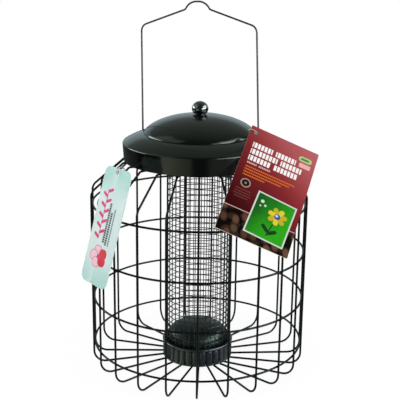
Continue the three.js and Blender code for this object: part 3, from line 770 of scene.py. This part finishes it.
drill.to_mesh(drill_mesh)
drill.free()
drill_object = bpy.data.objects.new("drill", drill_mesh)
scene.collection.objects.link(drill_object)
cut = lid.modifiers.new("leg_holes", "BOOLEAN")
cut.operation, cut.solver, cut.object = "DIFFERENCE", "EXACT", drill_object
bpy.context.view_layer.update()
shaped = bpy.data.meshes.new_from_object(lid.evaluated_get(bpy.context.evaluated_depsgraph_get()))
lid.modifiers.clear()
lid.data = shaped
bpy.data.objects.remove(drill_object)
lid.data.shade_smooth()
lid.data.set_sharp_from_angle(angle=radians(lid_sharp))

# Knob
# A ball of polished black plastic on a short neck and a flat foot, turned in one piece and bored
# from below for its screw. It lifts the lid.
knob_lift = 0.3
knob_base = lid_seat + lid_height(lid_bore) + knob_lift
ball_radius, ball_half, ball_level, ball_rings = 9.35, 8.5, 5.8, 28
neck_radius, knob_foot, knob_foot_high, knob_bore = 6.2, 6.9, 0.9, 8
foot_inner, foot_side, foot_round = 6, 0.5, 0.2
ball_cut = -0.55
ball_start = asin(ball_cut)
ball = []
for k in range(ball_rings):
    turn = ball_start + (pi / 2 - ball_start) * k / ball_rings
    ball.append((ball_radius * cos(turn), ball_level + ball_half * sin(turn)))
foot = [(foot_inner, 0), (knob_foot, 0), (knob_foot, foot_side), (neck_radius, knob_foot_high)]
knob_outline = [
    (0, knob_bore),
    (lid_bore, knob_bore),
    (lid_bore, 0),
    *bent(foot, [foot_round, foot_round], steps=3)[1:],
    *ball,
    (0, ball_level + ball_half),
]
polish = finish(
    "polished_black", [(0.0015, 0.0018, 0.002), (0.0025, 0.003, 0.0032)], patch=60.0, rough=(0.08, 0.14),
    grain=1200.0, grain_deep=0.006, sockets={"Coat Weight": 1.0, "Coat Roughness": 0.05, "Coat IOR": 1.75},
)
knob = turned([(at[0], at[1] + knob_base) for at in knob_outline], segments=64, closed=False)
piece("ball_knob", knob, polish, "lid", "knob_plastic", "knob", crease=50)

# Handle
# One bent steel wire: its feet hook under the top plate, its legs go up through the lid, and its
# top rises to a small hump that hangs on a hook. The steel is drawn and left bare, dull brown-grey.
toe_length, toe_bend, corner_bend = 8, 2, 8.7
hump_foot, hump_foot_level, hump_foot_bend = 14.45, 408.7, 4
hump_level, hump_bend, hump_side = 417.15, 14, radians(60)
toe_gap = 0.3
toe_level = plate_level - toe_gap - handle_thick / 2
hump_corner = hump_foot - (hump_level - hump_foot_level) / tan(hump_side)
half_shape = bent(
    [
        (handle_foot - toe_length, toe_level),
        (handle_foot, toe_level),
        (handle_corner, corner_level),
        (hump_foot, hump_foot_level),
        (hump_corner, hump_level),
        (0, hump_level),
    ],
    [toe_bend, corner_bend, hump_foot_bend, hump_bend],
)
steel = finish(
    "drawn_steel", [(0.070, 0.069, 0.061), (0.085, 0.083, 0.075)], patch=60.0, rough=(0.42, 0.48),
    grain=3200.0, grain_deep=0.002, sockets={"Metallic": 0.85}, stretch=(1, 1, 0.12),
)
left_half = [on_handle(-at.x, at.y) for at in half_shape]
right_half = [on_handle(at.x, at.y) for at in reversed(half_shape[:-1])]
handle = swept(bmesh.new(), left_half + right_half, handle_thick, sides=14)
piece("wire_handle", handle, steel, "cage", "handle_steel", "handle")

# Card
# A swing card of stout board, printed and varnished in front and plain behind. Its corner is
# punched for the loop, and it leans on the lid's rim.
corner_steps, punch_steps = 6, 24
soft_edge, corner_slack = 0.22, 0.05
block_corner, block_shift = 0.2, 200.0


def board(wide, tall, thick, corner, hole_at, hole_radius, place):
    """Flat sheet with round corners and one punched hole. Its front faces -Y before it is hung."""
    def arc(middle_x, middle_z, radius, angle):
        return Vector((middle_x + radius * cos(angle), middle_z + radius * sin(angle), 0))

    straight_x, straight_z = wide / 2 - corner, tall / 2 - corner
    rim = []
    for quarter, (x, z) in enumerate([(1, -1), (1, 1), (-1, 1), (-1, -1)]):
        for step in range(corner_steps + 1):
            angle = pi / 2 * (quarter - 1 + step / corner_steps)
            rim.append(arc(x * straight_x, z * straight_z, corner, angle))
    turns = [-2 * pi * k / punch_steps for k in range(punch_steps)]
    outlines = [rim, [arc(hole_at.x, hole_at.z, hole_radius, turn) for turn in turns]]
    triangles = tessellate_polygon(outlines)
    mesh = bmesh.new()
    sheet_map = mesh.loops.layers.uv.new("sheet")
    flat = [at for line in outlines for at in line]
    sides = []
    for level in (-thick, 0):
        sides.append([mesh.verts.new(place @ Vector((at.x, level, at.y)) * mm) for at in flat])
    for face_index, (verts, turned_over) in enumerate(zip(sides, (False, True))):
        for triangle in triangles:
            order = reversed(triangle) if turned_over else triangle
            face = mesh.faces.new([verts[k] for k in order])
            face.material_index = face_index
    start = 0
    for line in outlines:
        for k in range(len(line)):
            one, two = start + k, start + (k + 1) % len(line)
            face = mesh.faces.new((sides[0][one], sides[0][two], sides[1][two], sides[1][one]))
            face.material_index = 1
        start += len(line)
    where = {vert: at for verts in sides for vert, at in zip(verts, flat)}
    for face in mesh.faces:
        for corner_loop in face.loops:
            at = where[corner_loop.vert]
            corner_loop[sheet_map].uv = (at.x / wide + 0.5, at.y / tall + 0.5)
    return mesh


def sheet_place(tree, wide, tall):
    """Place on the sheet in millimetres from its middle."""
    share = put(tree, "UVMap", uv_map="sheet").outputs[0]
    centred = vector_calc(tree, "SUBTRACT", share, (0.5, 0.5, 0))
    return vector_calc(tree, "MULTIPLY", centred, (wide, tall, 0))


def rotated(tree, at, degrees):
    sockets = {"Vector": at, "Angle": radians(degrees)}
    return put(tree, "VectorRotate", sockets, rotation_type="Z_AXIS").outputs[0]


def patch(tree, at, middle, half, corner, turn=0):
    """Share of ink: 1 inside a rounded box of that half size, 0 outside it."""
    corner = max(corner, soft_edge)
    offset = vector_calc(tree, "SUBTRACT", at, (*middle, 0))
    if turn:
        offset = rotated(tree, offset, turn)
    folded = vector_calc(tree, "ABSOLUTE", offset)
    past = vector_calc(tree, "SUBTRACT", folded, (half[0] - corner, half[1] - corner, 0))
    outside = vector_calc(tree, "MAXIMUM", past, (0, 0, 0))
    far = put(tree, "VectorMath", {0: outside}, operation="LENGTH").outputs["Value"]
    return ramp(tree, far, corner - soft_edge, corner + soft_edge, 1.0, 0.0)


def round_spot(tree, at, middle, radius):
    """Share of ink for a round spot."""
    return patch(tree, at, middle, (radius, radius), radius - corner_slack)


def blocks(tree, at, middle, half, pitch, fill):
    """Share of ink for a row of small upright blocks, a stand-in for a printed line."""
    row = patch(tree, at, middle, half, block_corner)
    along = put(tree, "SeparateXYZ", {0: at}).outputs["X"]
    step = calc(tree, "PINGPONG", calc(tree, "ADD", along, block_shift), pitch / 2)
    edge = pitch * fill / 2
    return calc(tree, "MULTIPLY", row, ramp(tree, step, edge - soft_edge, edge + soft_edge, 1.0, 0.0))


card_print, tree = empty_material("card_print")
at = sheet_place(tree, card_wide, card_tall)
axes = put(tree, "SeparateXYZ", {0: at})
# The red darkens to maroon towards the lower left. Towards the upper right it turns pink, which is a painted
# varnish sheen.
red_slant, red_span, painted_sheen_span = 0.8, (-75.0, 70.0), (10.0, 110.0)
slant = calc(tree, "MULTIPLY_ADD", axes.outputs["X"], red_slant, axes.outputs["Y"])
maroon, crimson, painted_sheen_rose = (0.028, 0.001, 0.002, 1), (0.27, 0.026, 0.030, 1), (0.44, 0.115, 0.125, 1)
ink = mixed(tree, ramp(tree, slant, *red_span), maroon, crimson)
ink = mixed(tree, ramp(tree, slant, *painted_sheen_span), ink, painted_sheen_rose)

strip_top, strip_half, strip_line, strip_pink = -37.6, 41, 0.5, (0.52, 0.33, 0.33, 1)
strip_middle, strip_half_tall = (strip_top - card_tall / 2) / 2, (strip_top + card_tall / 2) / 2
husk_scale, husk_squash, husk_scatter = 0.096, 0.7, 0.55
husk_size, husk_spread, fleck_share = 0.38, 0.10, 0.22
tone_span, shade_span, rim_span = (0.3, 0.7), (0.18, 0.50), (-0.005, 0.02)
husk_edge, husk_fleck = (0.006, 0.002, 0.001, 1), (0.17, 0.11, 0.08, 1)
husk_layers = [
    (62, 3.0, (0.005, 0.002, 0.001, 1), (0.014, 0.005, 0.003, 1), (0.017, 0.009, 0.004, 1)),
    (-18, 0.0, (0.034, 0.012, 0.006, 1), (0.105, 0.038, 0.022, 1), (0.125, 0.072, 0.036, 1)),
]
skin = noise(tree, at, scale=0.9, detail=3.0)
nuts = (0.002, 0.0008, 0.0005, 1)
for turn, shift, dark, red, tan_brown in husk_layers:
    squash = (1.0, husk_squash, 1.0)
    nut_place = vector_calc(tree, "MULTIPLY_ADD", rotated(tree, at, turn), squash, (shift, shift, 0))
    cells = {"Vector": nut_place, "Scale": husk_scale, "Randomness": husk_scatter}
    middles = put(tree, "TexVoronoi", cells, feature="F1", voronoi_dimensions="2D")
    away = middles.outputs["Distance"]
    tones = put(tree, "SeparateColor", {0: middles.outputs["Color"]})
    lighter = mixed(tree, ramp(tree, tones.outputs[2], *tone_span), red, tan_brown)
    husk = mixed(tree, tones.outputs[0], dark, lighter)
    husk = mixed(tree, calc(tree, "MULTIPLY", skin, fleck_share), husk, husk_fleck)
    husk = mixed(tree, ramp(tree, away, *shade_span), husk, husk_edge)
    size = calc(tree, "MULTIPLY_ADD", tones.outputs[1], husk_spread, husk_size)
    inside = ramp(tree, calc(tree, "SUBTRACT", size, away), *rim_span)
    nuts = mixed(tree, inside, nuts, husk)
ink = mixed(tree, patch(tree, at, (0, strip_middle), (strip_half, strip_half_tall), 0.1), ink, nuts)
ink = mixed(tree, patch(tree, at, (0, strip_top), (strip_half, strip_line), 0.4), ink, strip_pink)

white_ink, pink_ink, orange_ink = (0.86, 0.82, 0.81, 1), (0.66, 0.42, 0.40, 1), (0.60, 0.13, 0.02, 1)
faint_ink = (0.17, 0.055, 0.05, 1)
large = {"half_high": 3.4, "pitch": 3.9, "fill": 0.74, "colour": white_ink}
small = {"half_high": 1.1, "pitch": 1.9, "fill": 0.7, "colour": pink_ink}
fine = {"half_high": 0.85, "pitch": 2.3, "fill": 0.82, "colour": orange_ink}
faint = {"half_high": 0.65, "pitch": 1.7, "fill": 0.6, "colour": faint_ink}
card_rows = [
    (large, 46.0, [(-20.4, 11.6), (6.6, 11.6)]),
    (large, 37.2, [(-16.4, 15.6), (14.8, 12.0)]),
    (large, 28.4, [(-19.4, 12.6), (10.4, 13.8)]),
    (small, 21.6, [(-26.2, 5.8), (-11.6, 6.8)]),
    (fine, 16.4, [(-3.5, 28.5)]),
    (fine, 12.8, [(-6.5, 25.5)]),
    (fine, 9.2, [(-10.5, 21.5)]),
    (fine, 5.6, [(-19.5, 12.5)]),
    (faint, -13.6, [(-25.5, 8.2)]),
    (faint, -17.0, [(-25.5, 9.0)]),
    (faint, -20.2, [(-25.5, 9.4)]),
    (faint, -23.4, [(-25.5, 7.6)]),
]
for kind, y, runs in card_rows:
    for x, half_long in runs:
        row = blocks(tree, at, (x, y), (half_long, kind["half_high"]), kind["pitch"], kind["fill"])
        ink = mixed(tree, row, ink, kind["colour"])

panel, panel_half, panel_rim, panel_turn = (11.2, -34.0), (22.2, 26.6), 1.6, 3
field_slant, field_span, cloud_share = -0.75, (-5.0, 62.0), 0.5
rim_ink, deep_green, bright_green = (0.60, 0.64, 0.60, 1), (0.006, 0.07, 0.010, 1), (0.025, 0.34, 0.010, 1)
field_half = (panel_half[0] - panel_rim, panel_half[1] - panel_rim)
ink = mixed(tree, patch(tree, at, panel, panel_half, 0.3, panel_turn), ink, rim_ink)
depth = calc(tree, "MULTIPLY_ADD", axes.outputs["Y"], field_slant, axes.outputs["X"])
cloud = noise(tree, at, scale=0.045, detail=1.0)
clouded = calc(tree, "MULTIPLY_ADD", cloud, cloud_share, -cloud_share / 2)
shade = calc(tree, "ADD", ramp(tree, depth, *field_span), clouded)
field = mixed(tree, shade, deep_green, bright_green)
ink = mixed(tree, patch(tree, at, panel, field_half, 0.1, panel_turn), ink, field)

bloom, heart_radius, glint, glint_radius = (17.2, -28.0), 3.4, (16.4, -27.1), 1.5
petals, petal_first, petal_out, petal_size = 7, 12, 6.2, (4.464, 2.7)
stalk, stalk_half, stalk_corner, stalk_turn = (13.9, -43.5), (11.5, 0.6), 0.5, -78
leaves, leaf_size = [(8.5, -46.5, 40), (16.5, -48.7, -34)], (5.6, 2.1)
seeds, seed_ink = [(-2.3, -17.0, 2.0), (1.7, -21.0, 1.3), (-3.3, -23.0, 1.0)], (0.55, 0.72, 0.50, 1)
green_ink, heart_ink, glint_ink = (0.008, 0.045, 0.010, 1), (0.04, 0.09, 0.28, 1), (0.50, 0.62, 0.80, 1)
yellow_inks = [(0.50, 0.38, 0.02, 1), (0.66, 0.55, 0.03, 1)]
ink = mixed(tree, patch(tree, at, stalk, stalk_half, stalk_corner, stalk_turn), ink, green_ink)
for x, y, turn in leaves:
    leaf = patch(tree, at, (x, y), leaf_size, leaf_size[1] - corner_slack, turn)
    ink = mixed(tree, leaf, ink, green_ink)
for k in range(petals):
    turn = 360 / petals * k + petal_first
    middle = (bloom[0] + petal_out * cos(radians(turn)), bloom[1] + petal_out * sin(radians(turn)))
    petal = patch(tree, at, middle, petal_size, petal_size[1] - corner_slack, -turn)
    ink = mixed(tree, petal, ink, yellow_inks[k % 2])
ink = mixed(tree, round_spot(tree, at, bloom, heart_radius), ink, heart_ink)
ink = mixed(tree, round_spot(tree, at, glint, glint_radius), ink, glint_ink)
for x, y, radius in seeds:
    ink = mixed(tree, round_spot(tree, at, (x, y), radius), ink, seed_ink)

pills = [
    ((27.5, 54.5), (7.5, 3.4), 3.3, (0.40, 0.55, 0.22, 1)),
    ((27.0, 54.5), (4.8, 1.3), 1.2, (0.06, 0.20, 0.05, 1)),
    ((28.5, 46.2), (6.4, 2.9), 1.0, (0.74, 0.40, 0.41, 1)),
]
for middle, half, corner, colour in pills:
    ink = mixed(tree, patch(tree, at, middle, half, corner), ink, colour)
ring_middle = (-25.5, -4.5)
ring_spots = [(5.6, (0.34, 0.26, 0.20, 1)), (4.3, (0.02, 0.006, 0.006, 1)), (1.3, (0.26, 0.20, 0.16, 1))]
for radius, colour in ring_spots:
    ink = mixed(tree, round_spot(tree, at, ring_middle, radius), ink, colour)

paper = noise(tree, at, scale=1.2, detail=3.0)
relief = put(tree, "Bump", {"Strength": 0.15, "Distance": 0.00003, "Height": paper})
varnish = {
    "Base Color": ink,
    "Roughness": ramp(tree, paper, 0.3, 0.7, 0.42, 0.54),
    "Specular IOR Level": 0.03,
    "Normal": relief.outputs[0],
}
put(tree, "OutputMaterial", {"Surface": put(tree, "BsdfPrincipled", varnish).outputs[0]})
board_stock = finish(
    "board_stock", [(0.58, 0.56, 0.52), (0.68, 0.66, 0.62)], patch=50.0, rough=(0.6, 0.75),
    grain=1400.0, grain_deep=0.03,
)
card_corner = 1
card_mesh = board(card_wide, card_tall, card_thick, card_corner, card_hole, card_hole_radius, card_place)
card = piece("printed_card", card_mesh, card_print, "card", "printed_card", "swing_card", crease=30)
card.data.materials.append(board_stock)

# Tag
# A swing tag cut from soft mint plastic with round ends, printed in front. A little light comes
# through it. It hangs outside the cage on a sloping wire.
tag_plastic, tree = empty_material("tag_plastic")
at = sheet_place(tree, tag_wide, tag_tall)
axes = put(tree, "SeparateXYZ", {0: at})
cloud = noise(tree, at, scale=0.05, detail=2.0)
pale_mint, deep_mint, sheen_mint = (0.66, 0.78, 0.765, 1), (0.42, 0.67, 0.615, 1), (0.72, 0.80, 0.80, 1)
pale_level, deep_span, cloud_share = -2.0, (24.0, 62.0), 0.4
# Painted sheen: a paler mint band over the tag's left half, ending sharply near its middle, is light painted
# into the colour.
sheen_slant, sheen_rise, sheen_fall, sheen_share = -0.05, (-16.0, -1.5), (-1.5, -0.5), 0.5
from_middle = calc(tree, "ABSOLUTE", calc(tree, "SUBTRACT", axes.outputs["Y"], pale_level))
clouded = calc(tree, "MULTIPLY_ADD", cloud, cloud_share, -cloud_share / 2)
deep = calc(tree, "ADD", ramp(tree, from_middle, *deep_span), clouded)
ink = mixed(tree, deep, pale_mint, deep_mint)
sheen_line = calc(tree, "MULTIPLY_ADD", axes.outputs["Y"], sheen_slant, axes.outputs["X"])
sheen_end = ramp(tree, sheen_line, *sheen_fall, 1.0, 0.0)
sheen = calc(tree, "MULTIPLY", ramp(tree, sheen_line, *sheen_rise), sheen_end)
ink = mixed(tree, calc(tree, "MULTIPLY", sheen, sheen_share), ink, sheen_mint)

magenta, pale_pink, red_ink = (0.62, 0.02, 0.16, 1), (0.86, 0.55, 0.62, 1), (0.60, 0.005, 0.02, 1)
black_ink, grey_ink = (0.02, 0.02, 0.022, 1), (0.10, 0.12, 0.13, 1)
sprig_x, sprig_low, stem_size, leaf_size = -9.4, -13.0, (0.65, 27.44), (5.2, 1.7)
leaf_count, leaf_gap, leaf_out, leaf_rise, leaf_turn = 10, 5.6, 4.0, 1.2, 24
stem_middle = (sprig_x, sprig_low + (leaf_count - 1) / 2 * leaf_gap)
stem = patch(tree, at, stem_middle, stem_size, stem_size[0] - corner_slack)
ink = mixed(tree, stem, ink, magenta)
for k in range(leaf_count):
    out = 1 if k % 2 else -1
    middle = (sprig_x + out * leaf_out, sprig_low + k * leaf_gap + leaf_rise)
    leaf = patch(tree, at, middle, leaf_size, leaf_size[1] - corner_slack, -out * leaf_turn)
    ink = mixed(tree, leaf, ink, magenta)
upright_place = rotated(tree, at, 90)
block_pitch, block_fill = 2.4, 0.82
tag_rows = [
    (1.0, -17.0, 26.0, 1.8, black_ink),
    (5.8, -19.0, 17.0, 1.8, black_ink),
    (10.8, -19.0, 21.0, 1.2, grey_ink),
]
for x, low, high, half_wide, colour in tag_rows:
    middle, half = (-(low + high) / 2, x), ((high - low) / 2, half_wide)
    row = blocks(tree, upright_place, middle, half, block_pitch, block_fill)
    ink = mixed(tree, row, ink, colour)
blossom, heart_size, petal_first = (-1.0, -33.0), (3.2, 2.6), 108
petal_out, petal_high, petal_rim, out_stretch, petal_stretch = 6.6, 5.0, 0.6, 1.35, 1.3
petal_inks = [pale_pink, pale_pink, pale_pink, red_ink, red_ink]
for k, fill in enumerate(petal_inks):
    turn = radians(360 / len(petal_inks) * k + petal_first)
    middle = (blossom[0] + out_stretch * petal_out * cos(turn), blossom[1] + petal_out * sin(turn))
    for high, colour in [(petal_high + petal_rim, magenta), (petal_high, fill)]:
        petal = patch(tree, at, middle, (high * petal_stretch, high), high - corner_slack)
        ink = mixed(tree, petal, ink, colour)
ink = mixed(tree, patch(tree, at, blossom, heart_size, heart_size[1] - corner_slack), ink, magenta)

light_through = 0.12
gloss = {"Base Color": ink, "Roughness": ramp(tree, cloud, 0.3, 0.7, 0.4, 0.52), "Specular IOR Level": 0.3}
front = put(tree, "BsdfPrincipled", gloss)
through = put(tree, "BsdfTranslucent", {"Color": ink})
both = put(tree, "MixShader", {0: light_through, 1: front.outputs[0], 2: through.outputs[0]})
put(tree, "OutputMaterial", {"Surface": both.outputs[0]})
mint = finish(
    "mint_back", [(0.50, 0.71, 0.68), (0.58, 0.77, 0.73)], patch=30.0, rough=(0.35, 0.45),
    grain=700.0, grain_deep=0.01,
)
tag_corner = 9
tag_mesh = board(tag_wide, tag_tall, tag_thick, tag_corner, tag_hole, tag_hole_radius, tag_place)
tag = piece("printed_tag", tag_mesh, tag_plastic, "tag", "tag_plastic", "swing_tag", crease=30)
tag.data.materials.append(mint)
